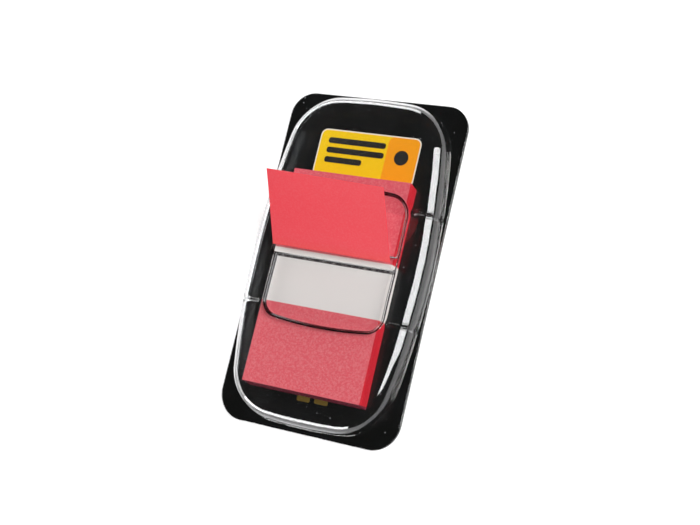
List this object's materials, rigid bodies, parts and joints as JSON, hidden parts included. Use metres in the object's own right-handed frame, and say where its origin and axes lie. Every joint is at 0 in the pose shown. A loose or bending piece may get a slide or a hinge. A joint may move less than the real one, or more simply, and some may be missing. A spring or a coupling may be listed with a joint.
{
  "type": "sticky index tab dispenser",
  "caption": "Pad of film index tabs with coloured ends on a black card, under a clear formed cover with a slot that one tab is drawn through.",
  "frame": {"origin": "middle of the card's back, on the surface it lies on", "axes": "+X across the card, +Y along its long side towards the end that the drawn tab leans to, +Z out of the cover"},
  "size_m": [0.0386, 0.0676, 0.0161],
  "materials": {
    "card": "gloss black print",
    "pad": "stacked film, satin",
    "film": "matte film",
    "cover": "clear gloss"
  },
  "bodies": {
    "root": {"backing_card": "card", "tab_pad": "pad", "drawn_tab": "film", "clear_cover": "cover"}
  },
  "joints": []
}
